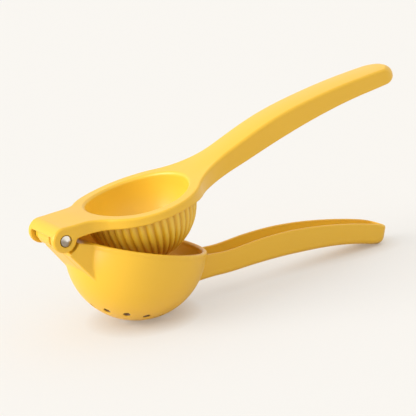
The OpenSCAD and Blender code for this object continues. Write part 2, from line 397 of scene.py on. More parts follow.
@dataclass(frozen=True)
class CupLever:
    """Strainer cup with its handle and the bracket that carries the knuckle."""

    hinge: Hinge
    cup_r: float = 37.8
    wall: float = 2.4
    band: float = 4.9
    lip_r: float = 1.25
    lip_fillet: float = 0.6
    skin_depth: float = 0.9
    arm_fillet: float = 1.3
    bracket_fillet: float = 0.6
    drain_r: float = 1.9
    drain_edge: float = 0.45
    drain_rings: tuple[tuple[float, int, float], ...] = ((20.7, 12, 0.0), (10.4, 6, 0.5), (0.0, 1, 0.0))
    reach: float = 167.2
    root_depth: float = 6.0
    width: float = 17.0
    side_wall: float = 1.9
    floor: float = 2.2
    rise: float = 18.7
    tip_corner: float = 5.0
    tip_from: float = 10.0
    tip_over: float = 8.0
    bottom_edge: float = 3.0
    top_edge: float = 0.8
    tip_bottom_edge: float = 2.2
    tip_top_edge: float = 0.9
    channel_corner: float = 2.0
    channel_start: float = 0.6
    channel_end: float = 1.2
    channel_edge: float = 0.7
    bracket_slope: float = math.radians(37)
    bracket_drop: float = 3.9
    bracket_below: float = 0.45
    bracket_top_edge: float = 0.8
    bracket_edge: float = 0.9
    bracket_front: float = 3.5
    bracket_back: float = 21.0
    bracket_flare: float = 0.15
    bracket_inset: float = 0.2
    neck_lean: tuple[float, float] = (0.523, 0.852)
    neck_top: float = 1.67
    web_edge: float = 0.6
    web_fillet: float = 0.8
    knuckle_edge: float = 0.5
    knuckle_fillet: float = 0.3
    # Painted shade inside the drain holes: its reach, fade and depth.
    shade_reach: float = 0.5
    shade_fade: float = 0.4
    shade_from: float = 0.15
    shade_over: float = 0.6
    shade_past: float = 0.3
    # Painted light in the handle's channel: where and how it fades in.
    pale_side: float = 0.3
    pale_start: float = 3.0
    pale_from: float = 0.5
    pale_over: float = 1.5
    pale_floor: float = 0.6

    @property
    def root(self) -> float:
        """Where the handle starts, inside the cup's wall."""
        return self.cup_r - self.wall - self.root_depth

    @property
    def top(self) -> Curve:
        """Top edge of the handle.

        Returns:
            Its height along X.
        """
        reach, band, rise = self.reach, self.band, self.rise
        return Curve(((self.root, band - 6.3, 0.2), (0.316 * reach, band - 0.10 * rise, 0.26),
                      (0.435 * reach, band + 0.28 * rise, 0.34), (0.602 * reach, band + 0.69 * rise, 0.2),
                      (0.781 * reach, band + 0.92 * rise, 0.095), (0.94 * reach, band + rise, 0.01),
                      (reach, band + rise - 0.3, -0.05)))

    @property
    def depth(self) -> Curve:
        """Depth of the handle below its top edge.

        Returns:
            The depth along X.
        """
        reach = self.reach
        return Curve(((self.root, 16.4, -0.1), (0.316 * reach, 13.7, 0.03), (0.435 * reach, 14.8, 0.03),
                      (0.602 * reach, 14.8, -0.03), (0.85 * reach, 12.6, -0.02), (reach, 12.3, -0.01)))

    def bowl(self, x: Array, y: Array, z: Array, radius: float) -> Array:
        """Distance to a round bottom that runs on upwards as a tube.

        Args:
            x: Places along X.
            y: Places along Y.
            z: Places along Z.
            radius: Radius of the sphere and of the tube.

        Returns:
            The distance, negative inside.
        """
        flat = np.hypot(x, y)
        return np.where(z < 0, np.hypot(flat, z), flat) - radius

    def holes(self, x: Array, y: Array) -> Array:
        """Distance in plan to the nearest drain hole.

        Args:
            x: Places along X.
            y: Places along Y.

        Returns:
            The distance, negative in a hole.
        """
        flat, turn = np.hypot(x, y), np.arctan2(y, x)
        best = np.full(np.broadcast(x, y).shape, 1e3)
        for ring_r, count, shift in self.drain_rings:
            pitch = 2 * math.pi / count
            off = (turn - shift * pitch + pitch / 2) % pitch - pitch / 2
            best = np.minimum(best, np.hypot(flat * np.cos(off) - ring_r, flat * np.sin(off)))
        return best - self.drain_r

    def handle(self, x: Array, y: Array, z: Array) -> Array:
        """Distance to the handle: a channel with rounded bottom edges.

        Args:
            x: Places along X.
            y: Places along Y.
            z: Places along Z.

        Returns:
            The distance, negative inside.
        """
        top, low = self.top, self.top.at(x) - self.depth.at(x)
        steep = top.steepness(x)
        above, below = (z - top.at(x)) / steep, (low - z) / steep
        bar = slot_plan(x, y, self.reach, self.width / 2, self.tip_corner)
        tip = smoothstep((x - self.reach + self.tip_from) / self.tip_over)
        outer = round_and(bar, below, self.bottom_edge + self.tip_bottom_edge * tip)
        outer = round_and(outer, above, self.top_edge + self.tip_top_edge * tip)
        outer = np.maximum(outer, self.root - x)
        hollow = slot_plan(x, y, self.reach - self.side_wall, self.width / 2 - self.side_wall,
                           self.tip_corner - self.side_wall)
        hollow = round_and(hollow, below + self.floor, self.channel_corner)
        hollow = round_and(hollow, self.channel_start - self.bowl(x, y, z, self.cup_r), self.channel_end)
        return carve(outer, hollow, self.channel_edge)

    def knuckle(self, x: Array, y: Array, z: Array) -> Array:
        """Distance to the bracket under the hinge, its web and the knuckle on it.

        Args:
            x: Places along X.
            y: Places along Y.
            z: Places along Z.

        Returns:
            The distance, negative inside.
        """
        hinge = self.hinge
        along, up = x + hinge.cup_reach, z - self.band - hinge.pin_rise
        lean, rise = math.sin(self.bracket_slope), math.cos(self.bracket_slope)
        off = np.hypot(along, up)
        under = -(along * lean + up * rise)
        half = hinge.half - self.bracket_inset + self.bracket_flare * (along - hinge.ear_room)
        wedge = round_and(up + hinge.pin_rise + self.bracket_below, np.abs(y) - half, self.bracket_top_edge)
        wedge = round_and(wedge, under - self.bracket_drop, self.bracket_edge)
        wedge = np.maximum(wedge, along - self.bracket_back)
        wedge = np.maximum(wedge, hinge.ear_room - self.bracket_front - along)
        wedge = carve(wedge, off - hinge.ear_room, self.knuckle_edge)
        neck = self.neck_lean[0] * along + self.neck_lean[1] * up - self.neck_top
        neck = np.maximum(np.maximum(neck, under - self.bracket_drop), -(along * rise - up * lean))
        neck = np.maximum(neck, along - self.bracket_back)
        neck = round_and(np.minimum(off - hinge.web_r, neck), np.abs(y) - hinge.web_w / 2, self.web_edge)
        roll = round_and(off - hinge.knuckle_r, np.abs(y) - hinge.ear_gap / 2 + hinge.gap, self.knuckle_edge)
        return round_or(round_or(wedge, neck, self.web_fillet), roll, self.knuckle_fillet)

    def distance(self, x: Array, y: Array, z: Array) -> Array:
        """Distance to the whole casting.

        Args:
            x: Places along X.
            y: Places along Y.
            z: Places along Z.

        Returns:
            The distance, negative inside.
        """
        hinge = self.hinge
        outer = self.bowl(x, y, z, self.cup_r)
        wall = np.abs(outer + self.wall / 2) - self.wall / 2
        lip_z = z - self.band + self.lip_r
        lip = np.hypot(np.hypot(x, y) - self.cup_r + self.wall / 2, lip_z) - self.lip_r
        cup = round_or(np.maximum(wall, lip_z), lip, self.lip_fillet)
        cup = carve(cup, np.maximum(self.holes(x, y), z), self.drain_edge)
        inward = -outer - self.skin_depth
        arm = np.maximum(self.handle(x, y, z), inward)
        carrier = np.maximum(self.knuckle(x, y, z), inward)
        cast = round_or(round_or(cup, arm, self.arm_fillet), carrier, self.bracket_fillet)
        off = np.hypot(x + hinge.cup_reach, z - self.band - hinge.pin_rise)
        return carve(cast, off - hinge.pin_r - hinge.pin_clear, hinge.bore_edge)

    def build(self, place: Matrix) -> bpy.types.Object:
        """Meshes the casting.

        Args:
            place: From the cup's frame to Blender's.

        Returns:
            The casting's object.
        """
        edge = 2 * GRID_STEP
        low = (-self.hinge.cup_reach - self.hinge.ear_r, -self.cup_r - edge, -self.cup_r - edge)
        high = (self.reach + edge, self.cup_r + edge, self.band + self.rise + edge)
        skin = skin_of(self.distance, low, high)
        x, y, z = skin.points.T
        inward = -self.bowl(x, y, z, self.cup_r)
        # Painted shade inside the drain holes, growing with depth into the wall.
        deep = (smoothstep((self.shade_reach - self.holes(x, y)) / self.shade_fade)
                * smoothstep((inward - self.shade_from) / self.shade_over)
                * (inward < self.wall + self.shade_past) * (z < 0))
        # Painted light: the inside of the handle's channel is painted paler, as if brightened by light
        # bounced inside it.
        below = self.top.at(x) - z
        wide = smoothstep((self.width / 2 - self.side_wall + self.pale_side - np.abs(y)) / self.pale_side)
        channel = wide * smoothstep((x - self.cup_r) / self.pale_start)
        channel *= smoothstep((below - self.pale_from) / self.pale_over)
        channel *= z > self.top.at(x) - self.depth.at(x) + self.pale_floor * self.floor
        obj = replace(skin, deep=deep, bowl=channel).to_object("strainer_cup_casting", place)
        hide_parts("strainer_cup")
        return obj


# ---------------------------------------------------------------- press lever
@dataclass(frozen=True)
class PressLever:
    """Ears, ring, round bowl and handle of the upper casting."""

    hinge: Hinge
    ring_r: float = 35.4
    ring_z: float = 0.4
    ring_h: float = 4.9
    ring_edge: float = 1.3
    bowl_r: float = 30.6
    bowl_wall: float = 2.5
    core_t: float = 1.3
    bowl_fade: float = 0.9
    reach: float = 230.2
    width: float = 20.4
    side_wall: float = 2.0
    top_t: float = 2.4
    rise: float = 13.5
    depth: float = 11.8
    shoulder: float = 1.5
    tip_round: float = 5.0
    tip_length: float = 30.0
    tip_from: float = 11.0
    tip_over: float = 9.0
    lower_edge: float = 0.9
    tip_lower_edge: float = 2.2
    channel_corner: float = 1.5
    channel_end: float = 4.0
    channel_start: float = 5.0
    channel_edge: float = 0.6
    crown: float = 0.8
    neck_flare: float = 44.0
    arm_flare: float = 16.0
    arm_spread: float = 0.5
    arm_spread_from: float = 0.2
    arm_inset: float = 0.1
    shoulder_from: float = 0.7
    ear_edge: float = 1.5
    ear_fillet: float = 1.5
    ear_fillet_top: float = 3.0
    least_edge: float = 0.01
    rim_edge: float = 1.6
    rim_from: float = 1.0
    rim_over: float = 2.0
    inner_edge: float = 0.05
    nose_angle: float = math.radians(147)
    pocket: float = 14.0
    pocket_lean: tuple[float, float] = (0.245, 0.97)
    pocket_knee: tuple[float, float] = (0.6, 0.8)
    pocket_lap: float = 0.01
    pocket_corner: float = 0.8
    pocket_edge: float = 0.6
    bore_edge: float = 0.35
    core_rise: float = 2.5

    @property
    def tip_corner(self) -> float:
        """Plan radius of the corners at the handle's tip."""
        return 0.44 * self.width

    @property
    def bowl_z(self) -> float:
        """Height of the bowl's centre."""
        return self.ring_z - self.ring_h

    @property
    def inner_r(self) -> float:
        """Inside radius of the bowl."""
        return self.bowl_r - self.bowl_wall

    @property
    def top(self) -> Curve:
        """Top of the plate and of the handle.

        Returns:
            Its height along X.
        """
        bowl, mid, crest = self.hinge.bowl_reach, 0.5906 * self.reach, 0.7648 * self.reach
        return Curve(((1.1, 7.03, -0.19), (bowl - 34, 4.4, -0.24), (bowl - 4, self.ring_z, -0.03),
                      (bowl + 34, self.ring_z + 1.7, 0.14), (mid, 0.85 * self.rise, 0.14),
                      (crest, self.rise, 0), (self.reach, self.rise - 3.1, -0.1)))

    @property
    def bottom(self) -> Curve:
        """Underside of the plate and lower edge of the handle.

        Returns:
            Its height along X.
        """
        bowl, mid, crest = self.hinge.bowl_reach, 0.5906 * self.reach, 0.7648 * self.reach
        low = self.rise - self.depth
        return Curve(((1.1, -0.8, -0.06), (bowl - 28, -3.0, -0.1), (bowl + 6, self.bowl_z, -0.02),
                      (bowl + 36, self.bowl_z - 2.3, -0.02),
                      (mid, 0.85 * self.rise - self.depth - 1.7, 0.125),
                      (crest + 14, low + 0.2, 0.01), (self.reach, low - 0.6, 0)))

    def flared(self, off: Array, half: Array | float, flare: float) -> Array:
        """Half width of the ring and of the straight bar that flares out of it.

        Args:
            off: Distance along X from the ring's axis.
            half: Half width of the bar.
            flare: Radius of the flare.

        Returns:
            The half width.
        """
        centre = np.sqrt((self.ring_r + flare) ** 2 - (half + flare) ** 2)
        join = centre * self.ring_r / (self.ring_r + flare)
        ring = np.sqrt(np.maximum(self.ring_r ** 2 - off ** 2, 0))
        curve = half + flare - np.sqrt(np.maximum(flare ** 2 - np.maximum(centre - off, 0) ** 2, 0))
        return np.where(off < join, ring, np.where(off < centre, curve, half))

    def half_width(self, x: Array) -> Array:
        """Half width of the ears, ring and neck.

        Args:
            x: Places along X.

        Returns:
            The half width at each place.
        """
        spread = np.clip(x / self.hinge.ear_r - self.arm_spread_from, 0, 1)
        arm = self.hinge.half - self.arm_inset + self.arm_spread * spread
        off = x - self.hinge.bowl_reach
        return np.where(off < 0, self.flared(-off, arm, self.arm_flare),
                        self.flared(off, self.width / 2, self.neck_flare))

    def plan(self, x: Array, y: Array) -> Array:
        """Distance in plan to the lever's outline.

        Args:
            x: Places along X.
            y: Places along Y.

        Returns:
            The distance, negative inside.
        """
        steep = np.hypot(1, (self.half_width(x + SPAN) - self.half_width(x - SPAN)) / (2 * SPAN))
        body = (np.abs(y) - self.half_width(x)) / steep
        tip = slot_plan(x, y, self.reach, self.width / 2, self.tip_corner)
        return np.where(x > self.reach - self.tip_length, tip, body)

    def plate(self, x: Array, y: Array, z: Array) -> Array:
        """Distance to the plate and the hollow handle, before bowl and pocket are cut.

        Args:
            x: Places along X.
            y: Places along Y.
            z: Places along Z.

        Returns:
            The distance, negative inside.
        """
        share = smoothstep((x - self.hinge.bowl_reach - self.shoulder_from * self.ring_r) / self.ring_r)
        dome = self.crown * share * np.minimum(np.abs(y) / (self.width / 2), 1) ** 2
        above = (z - self.top.at(x) + dome) / self.top.steepness(x)
        below = (self.bottom.at(x) - z) / self.bottom.steepness(x)
        shoulder = self.ring_edge + (self.shoulder - self.ring_edge) * share
        tip = smoothstep((x - self.reach + self.tip_from) / self.tip_over)
        shoulder = shoulder + (self.tip_round - self.shoulder) * tip
        solid = round_and(self.plan(x, y), below, self.lower_edge + self.tip_lower_edge * tip)
        solid = np.maximum(round_and(solid, above, shoulder), -x)
        hollow = slot_plan(x, y, self.reach - self.side_wall, self.width / 2 - self.side_wall,
                           self.tip_corner - self.side_wall)
        start = self.hinge.bowl_reach + self.ring_r + self.channel_start
        hollow = round_and(hollow, start - x, self.channel_end)
        hollow = round_and(hollow, above + self.top_t, self.channel_corner)
        return carve(solid, hollow, self.channel_edge)

    def ball(self, x: Array, y: Array, z: Array) -> Array:
        """Distance from the bowl's centre, or above it from its axis.

        Args:
            x: Places along X.
            y: Places along Y.
            z: Places along Z.

        Returns:
            The distance.
        """
        flat, down = np.hypot(x - self.hinge.bowl_reach, y), z - self.bowl_z
        return np.where(down < 0, np.hypot(flat, down), flat)

    def pocket_cut(self, x: Array, y: Array, z: Array) -> Array:
        """Distance to the room for the knuckle between the ears.

        Args:
            x: Places along X.
            y: Places along Y.
            z: Places along Z.

        Returns:
            The distance, negative in the pocket.
        """
        room = self.hinge.web_r + self.hinge.web_clear
        front = math.sin(self.nose_angle) * x - math.cos(self.nose_angle) * z
        lean, knee = self.pocket_lean, self.pocket_knee
        back = lean[0] * (x - knee[0] * room) + lean[1] * (z - knee[1] * room)
        back = np.maximum(np.maximum(back, x - self.pocket), -x - self.pocket_lap)
        side = np.minimum(np.maximum(front, x), back)
        cut = np.minimum(np.hypot(x, z) - room, side)
        return round_and(cut, np.abs(y) - self.hinge.ear_gap / 2, self.pocket_corner)

    def distance(self, x: Array, y: Array, z: Array) -> Array:
        """Distance to the whole casting, without the flutes.

        Args:
            x: Places along X.
            y: Places along Y.
            z: Places along Z.

        Returns:
            The distance, negative inside.
        """
        hinge = self.hinge
        ear = np.hypot(x + hinge.ear_back, z - hinge.ear_rise) - hinge.ear_r
        drum = round_and(ear, np.abs(y) - hinge.half, self.ear_edge)
        fillet = self.ear_fillet * smoothstep((self.ear_fillet_top - z) / self.ear_fillet_top)
        body = round_or(self.plate(x, y, z), drum, fillet + self.least_edge)
        down, ball = z - self.bowl_z, self.ball(x, y, z)
        core = np.maximum(ball - self.inner_r - self.core_t, down - self.core_rise)
        body = np.minimum(body, core)
        rim = self.rim_edge * smoothstep((down - self.rim_from) / self.rim_over) + self.inner_edge
        body = carve(body, ball - self.inner_r, rim)
        body = carve(body, self.pocket_cut(x, y, z), self.pocket_edge)
        return carve(body, np.hypot(x, z) - hinge.pin_r, self.bore_edge)

    def build(self, place: Matrix) -> bpy.types.Object:
        """Meshes the casting.

        Args:
            place: From the press lever's frame to Blender's.

        Returns:
            The casting's object.
        """
        edge = 2 * GRID_STEP
        low = (-self.hinge.ear_r - edge, -self.ring_r - edge, self.bowl_z - self.bowl_r - edge)
        high = (self.reach + edge, self.ring_r + edge, self.rise + edge)
        skin = skin_of(self.distance, low, high)
        x, y, z = skin.points.T
        # Painted light: the inside of the bowl is painted paler, as if lit from above and by light bounced
        # inside it.
        bowl = smoothstep((self.inner_r + self.bowl_fade - self.ball(x, y, z)) / self.bowl_fade)
        obj = replace(skin, bowl=bowl).to_object("press_lever_casting", place)
        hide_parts("press_lever")
        return obj


@dataclass(frozen=True)
class Flutes:
    """Ribbed skin of the press bowl: round ribs that meet in narrow grooves."""

    lever: PressLever
    count: int = 45
    depth: float = 1.1
    per_rib: int = 12
    rings: int = 64
    skin_t: float = 1.7
    overlap: float = 1.5
    last: float = math.radians(88.5)
    fade_rate: float = 3.2
    groove_shade: float = 0.22
    groove_share: float = 1.25

    def ring(self, down: float, lift: float, radius: float, depth: float) -> Array:
        """One closed ring of points around the bowl.

        Args:
            down: Angle below the bowl's rim.
            lift: Height added to the ring.
            radius: Radius over the ribs.
            depth: Depth of the grooves.

        Returns:
            The ring's points.
        """
        turn = np.arange(self.count * self.per_rib) * 2 * math.pi / (self.count * self.per_rib)
        reach = radius - depth * (1 - np.abs(np.cos(self.count * turn / 2)))
        flat = reach * math.cos(down)
        return np.stack([self.lever.hinge.bowl_reach + flat * np.cos(turn), flat * np.sin(turn),
                         self.lever.bowl_z + lift - reach * math.sin(down)], axis=1)

    def build(self, place: Matrix) -> bpy.types.Object:
        """Makes the closed, ribbed skin.

        Args:
            place: From the press lever's frame to Blender's.

        Returns:
            The skin's object.
        """
        radius = self.lever.bowl_r
        downs = [self.last * i / self.rings for i in range(self.rings + 1)]
        fade = [self.depth * min(1.0, self.fade_rate * math.cos(d)) for d in downs]
        outer = [self.ring(0, self.overlap, radius, self.depth)]
        outer += [self.ring(d, 0, radius, f) for d, f in zip(downs, fade)]
        inner = [self.ring(d, 0, radius - self.skin_t, 0) for d in reversed(downs)]
        inner.append(self.ring(0, self.overlap, radius - self.skin_t, 0))
        rows = outer + inner
        around = self.count * self.per_rib
        faces = band_faces(len(rows), around, closed=True).tolist()
        # Painted shade in the grooves and a painted highlight along the rib crests.
        crest = np.tile(np.abs(np.cos(math.pi * np.arange(around) / self.per_rib)), len(rows))
        groove = self.groove_shade * smoothstep(1 - self.groove_share * crest)
        skin = Skin(np.concatenate(rows), faces, deep=groove, bowl=smoothstep(2 * crest - 1))
        obj = skin.to_object("press_bowl_flutes", place)
        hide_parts("press_lever")
        return obj


# ---------------------------------------------------------------- pin
@dataclass(frozen=True)
class HingePin:
    """Steel pin with domed ends, painted brighter towards one side as a painted highlight."""

    hinge: Hinge
    head_r: float = 2.85
    head_t: float = 0.6
    dome: float = 1.1
    dome_bend: tuple[float, float] = (1.4, 0.7)
    steps: int = 64
    dome_rings: int = 14
    painted_highlight_angle: float = math.radians(58)

    def build(self, place: Matrix) -> bpy.types.Object:
        """Turns the pin's outline about its axis.

        Args:
            place: From the press lever's frame to Blender's.

        Returns:
            The pin's object.
        """
        half = self.hinge.half
        bend, fall = self.dome_bend
        outline = []
        for i in range(1, self.dome_rings + 1):
            share = math.sin(math.pi / 2 * i / self.dome_rings)
            outline.append((self.head_r * share, half + self.dome * (1 - share ** bend) ** fall))
        outline += [(self.head_r, half - self.head_t), (self.hinge.pin_r, half - self.head_t)]
        outline += [(r, -y) for r, y in reversed(outline)]
        n = self.steps
        turn = np.arange(n) * 2 * math.pi / n
        rows = [np.stack([r * np.cos(turn), np.full(n, y), r * np.sin(turn)], axis=1) for r, y in outline]
        tips = np.array([[0, half + self.dome, 0], [0, -half - self.dome, 0]])
        faces = band_faces(len(rows), n, closed=False)[:, ::-1].tolist()
        first, last, rim = len(rows) * n, len(rows) * n + 1, (len(rows) - 1) * n
        for here in range(n):
            ahead = (here + 1) % n
            faces += [[first, ahead, here], [last, rim + here, rim + ahead]]
        points = np.concatenate(rows + [tips])
        # Painted highlight: brightest on the side of the pin that faces the highlight's angle.
        painted_highlight = 0.5 + 0.5 * np.cos(np.arctan2(points[:, 2], points[:, 0]) - self.painted_highlight_angle)
        skin = Skin(points, faces, bowl=smoothstep(1.5 * painted_highlight - 0.5))
        obj = skin.to_object("hinge_pin_rivet", place)
        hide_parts("hinge_pin")
        return obj


# ---------------------------------------------------------------- materials
def colour(red: int, green: int, blue: int) -> tuple[float, float, float, float]:
    """Linear colour of an 8-bit display colour.

    Args:
        red: Red, 0 to 255.
        green: Green, 0 to 255.
        blue: Blue, 0 to 255.

    Returns:
        The linear colour with full alpha.
    """
    def linear(level: int) -> float:
        """Linear value of one channel."""
        share = level / 255
        return share / 12.92 if share <= 0.04045 else ((share + 0.055) / 1.055) ** 2.4

    return linear(red), linear(green), linear(blue), 1.0


class SocketKind(Enum):
    """Socket types of a node group."""

    VALUE = "NodeSocketFloat"
    COLOUR = "NodeSocketColor"


GROUP_NAME = "Finish surface"
GROUP_INPUTS = (
    ("Colour", SocketKind.COLOUR, (0.8, 0.5, 0.1, 1)),
    ("Thin Colour", SocketKind.COLOUR, (0.9, 0.6, 0.2, 1)),
    ("Drift Size", SocketKind.VALUE, 40.0),
    ("Drift Amount", SocketKind.VALUE, 0.3),
    ("Gloss", SocketKind.VALUE, 0.35),
    ("Gloss Spread", SocketKind.VALUE, 0.05),
    ("Ripple Size", SocketKind.VALUE, 500.0),
    ("Grain Stretch", SocketKind.VALUE, 1.0),
    ("Painted Light Colour", SocketKind.COLOUR, (0.9, 0.65, 0.1, 1)),
    ("Painted Shade Reach", SocketKind.VALUE, 0.004),
    ("Painted Shade Colour", SocketKind.COLOUR, (0.3, 0.1, 0.0, 1)),
    ("Painted Shade Amount", SocketKind.VALUE, 0.5),
)
GROUP_OUTPUTS = (("Colour", SocketKind.COLOUR), ("Roughness", SocketKind.VALUE), ("Height", SocketKind.VALUE))
PAINTED_SHADE_STARTS, PAINTED_SHADE_FULL = 0.7, 0.2
DRIFT_OCTAVES, RIPPLE_OCTAVES = 3.0, 2.0


def feed(tree: bpy.types.NodeTree, port: bpy.types.NodeSocket, value: object) -> None:
    """Links a socket to an input, or sets the input itself.

    Args:
        tree: The node tree.
        port: The input.
        value: A socket, a number or a colour.
    """
    if isinstance(value, bpy.types.NodeSocket):
        tree.links.new(value, port)
    else:
        port.default_value = value


def feed_all(tree: bpy.types.NodeTree, node: bpy.types.Node, values: dict[str, object]) -> None:
    """Feeds the named inputs of a node.

    Args:
        tree: The node tree.
        node: The node.
        values: What each input gets, by the input's name.
    """
    for label, value in values.items():
        feed(tree, node.inputs[label], value)


def math_node(tree: bpy.types.NodeTree, operation: str, *values: object) -> bpy.types.NodeSocket:
    """Adds a math node.

    Args:
        tree: The node tree.
        operation: What it does.
        *values: Its inputs, each a socket or a number.

    Returns:
        Its result.
    """
    node = tree.nodes.new("ShaderNodeMath")
    node.operation = operation
    for port, value in zip(node.inputs, values):
        feed(tree, port, value)
    return node.outputs[0]


def mix_node(tree: bpy.types.NodeTree, share: object, low: object, high: object) -> bpy.types.NodeSocket:
    """Adds a mix of two colours.

    Args:
        tree: The node tree.
        share: Share of the second colour.
        low: First colour, or a socket.
        high: Second colour, or a socket.

    Returns:
        The mixed colour.
    """
    node = tree.nodes.new("ShaderNodeMix")
    node.data_type = "RGBA"
    feed_all(tree, node, {"Factor": share, "A": low, "B": high})
    return node.outputs["Result"]


def noise_node(tree: bpy.types.NodeTree, place: object, scale: object, detail: float) -> bpy.types.NodeSocket:
    """Adds a noise.

    Args:
        tree: The node tree.
        place: Where it is read.
        scale: Its scale.
        detail: Its octaves.

    Returns:
        The noise, 0 to 1.
    """
    node = tree.nodes.new("ShaderNodeTexNoise")
    feed_all(tree, node, {"Vector": place, "Scale": scale, "Detail": detail})
    return node.outputs["Fac"]


def mask_node(tree: bpy.types.NodeTree, name: str) -> bpy.types.NodeSocket:
    """Adds a reader of a vertex mask.

    Args:
        tree: The node tree.
        name: The mask's name.

    Returns:
        The mask, 0 where a piece has none.
    """
    node = tree.nodes.new("ShaderNodeAttribute")
    node.attribute_name = name
    return node.outputs["Fac"]


def surface_group() -> bpy.types.NodeTree:
    """Node group with the slow colour drift, uneven gloss and fine ripple of a finish, and its painted light
    and painted shade.

    Returns:
        The group. Its inputs set the colours and amounts, its outputs feed a shader.
    """
    if GROUP_NAME in bpy.data.node_groups:
        return bpy.data.node_groups[GROUP_NAME]
    group = bpy.data.node_groups.new(GROUP_NAME, "ShaderNodeTree")
    for label, kind, default in GROUP_INPUTS:
        port = group.interface.new_socket(label, in_out="INPUT", socket_type=kind.value)
        port.default_value = default
    for label, kind in GROUP_OUTPUTS:
        group.interface.new_socket(label, in_out="OUTPUT", socket_type=kind.value)
    nodes, links = group.nodes, group.links
    given, outputs = nodes.new("NodeGroupInput").outputs, nodes.new("NodeGroupOutput").inputs
    place = nodes.new("ShaderNodeTexCoord").outputs["Object"]

    drift = noise_node(group, place, given["Drift Size"], DRIFT_OCTAVES)
    drifted = math_node(group, "MULTIPLY", drift, given["Drift Amount"])
    painted = mix_node(group, drifted, given["Colour"], given["Thin Colour"])
    # Painted light: the mesh's mask paints the colour paler in the press bowl, the handle's channel and on
    # the rib crests, and brighter on the pin's lit side.
    painted = mix_node(group, mask_node(group, PAINTED_LIGHT_ATTRIBUTE), painted, given["Painted Light Colour"])

    # Painted shade: ambient occlusion darkens the colour towards the painted shade colour in hollows, creases
    # and between parts.
    painted_shade, closed = nodes.new("ShaderNodeAmbientOcclusion"), nodes.new("ShaderNodeMapRange")
    links.new(given["Painted Shade Reach"], painted_shade.inputs["Distance"])
    closed.interpolation_type = "SMOOTHSTEP"
    feed_all(group, closed, {"Value": painted_shade.outputs["AO"], "From Min": PAINTED_SHADE_STARTS,
                             "From Max": PAINTED_SHADE_FULL, "To Min": 0.0, "To Max": 1.0})
    shaded = math_node(group, "MULTIPLY", closed.outputs["Result"], given["Painted Shade Amount"])
    # Painted shade from the mesh's own mask, in the drain holes and flute grooves.
    shaded = math_node(group, "MAXIMUM", shaded, mask_node(group, PAINTED_SHADE_ATTRIBUTE))
    links.new(mix_node(group, shaded, painted, given["Painted Shade Colour"]), outputs["Colour"])

    stretch, scaled = nodes.new("ShaderNodeCombineXYZ"), nodes.new("ShaderNodeVectorMath")
    scaled.operation = "MULTIPLY"
    for port, value in zip(stretch.inputs, (1.0, given["Grain Stretch"], 1.0)):
        feed(group, port, value)
    links.new(place, scaled.inputs[0])
    links.new(stretch.outputs[0], scaled.inputs[1])
    ripple = noise_node(group, scaled.outputs[0], given["Ripple Size"], RIPPLE_OCTAVES)
    links.new(ripple, outputs["Height"])

    centred = math_node(group, "SUBTRACT", drift, 0.5)
    gloss = math_node(group, "MULTIPLY_ADD", centred, given["Gloss Spread"], given["Gloss"])
    links.new(gloss, outputs["Roughness"])
    return group


@dataclass(frozen=True)
class Finish:
    """A finish: how it looks and how uneven it is."""

    name: str
    slot: Slot
    base: tuple[float, float, float, float]
    thin: tuple[float, float, float, float]
    drift_size: float
    drift_amount: float
    gloss: float
    gloss_spread: float
    ripple_size: float
    ripple_height: float
    ripple_strength: float = 0.6
    stretch: float = 1.0
    metallic: float = 0.0
    coat: float = 0.0
    coat_roughness: float = 0.1
    # Painted light colour, then the painted shade colour, how far the painted shade reaches into hollows and
    # how strong it is.
    bowl: tuple[float, float, float, float] = colour(242, 200, 62)
    painted_shade: tuple[float, float, float, float] = colour(104, 62, 2)
    painted_shade_reach: float = 4.0
    painted_shade_amount: float = 0.4

    def build(self) -> bpy.types.Material:
        """Makes the material.

        Returns:
            The material.
        """
        material = bpy.data.materials.new(self.name)
        material.use_nodes = True
        tree = material.node_tree
        group, bump = tree.nodes.new("ShaderNodeGroup"), tree.nodes.new("ShaderNodeBump")
        group.node_tree = surface_group()
        feed_all(tree, group, {
            "Colour": self.base, "Thin Colour": self.thin, "Drift Size": self.drift_size,
            "Drift Amount": self.drift_amount, "Gloss": self.gloss, "Gloss Spread": self.gloss_spread,
            "Ripple Size": self.ripple_size, "Grain Stretch": self.stretch, "Painted Light Colour": self.bowl,
            "Painted Shade Reach": self.painted_shade_reach * MM, "Painted Shade Colour": self.painted_shade,
            "Painted Shade Amount": self.painted_shade_amount})
        feed_all(tree, bump, {"Strength": self.ripple_strength, "Distance": self.ripple_height * MM,
                              "Height": group.outputs["Height"]})
        feed_all(tree, tree.nodes["Principled BSDF"], {
            "Base Color": group.outputs["Colour"], "Roughness": group.outputs["Roughness"],
            "Normal": bump.outputs["Normal"], "Metallic": self.metallic,
            "Coat Weight": self.coat, "Coat Roughness": self.coat_roughness})
        return material

    def dress(self, obj: bpy.types.Object, material: bpy.types.Material, body: Body) -> None:
        """Gives a piece this finish and its body.

        Args:
            obj: The piece.
            material: This finish's material.
            body: The body it rides on.
        """
        obj.data.materials.clear()
        obj.data.materials.append(material)
        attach(obj, body.value)


ENAMEL = Finish("yellow enamel", Slot.ENAMEL, colour(237, 184, 34), colour(241, 190, 43), drift_size=55.0,
                drift_amount=0.5, gloss=0.41, gloss_spread=0.12, ripple_size=420.0, ripple_height=0.03,
                coat=0.3, coat_roughness=0.4)
# The pin's painted highlight colour, and its painted shade in small hollows.
STEEL = Finish("polished pin steel", Slot.STEEL, colour(176, 166, 152), colour(134, 122, 108),
               drift_size=420.0, drift_amount=1.0, gloss=0.24, gloss_spread=0.16, ripple_size=2600.0,
               ripple_height=0.012, stretch=0.4, metallic=1.0, bowl=colour(244, 238, 228),
               painted_shade=colour(70, 62, 52), painted_shade_reach=1.5)


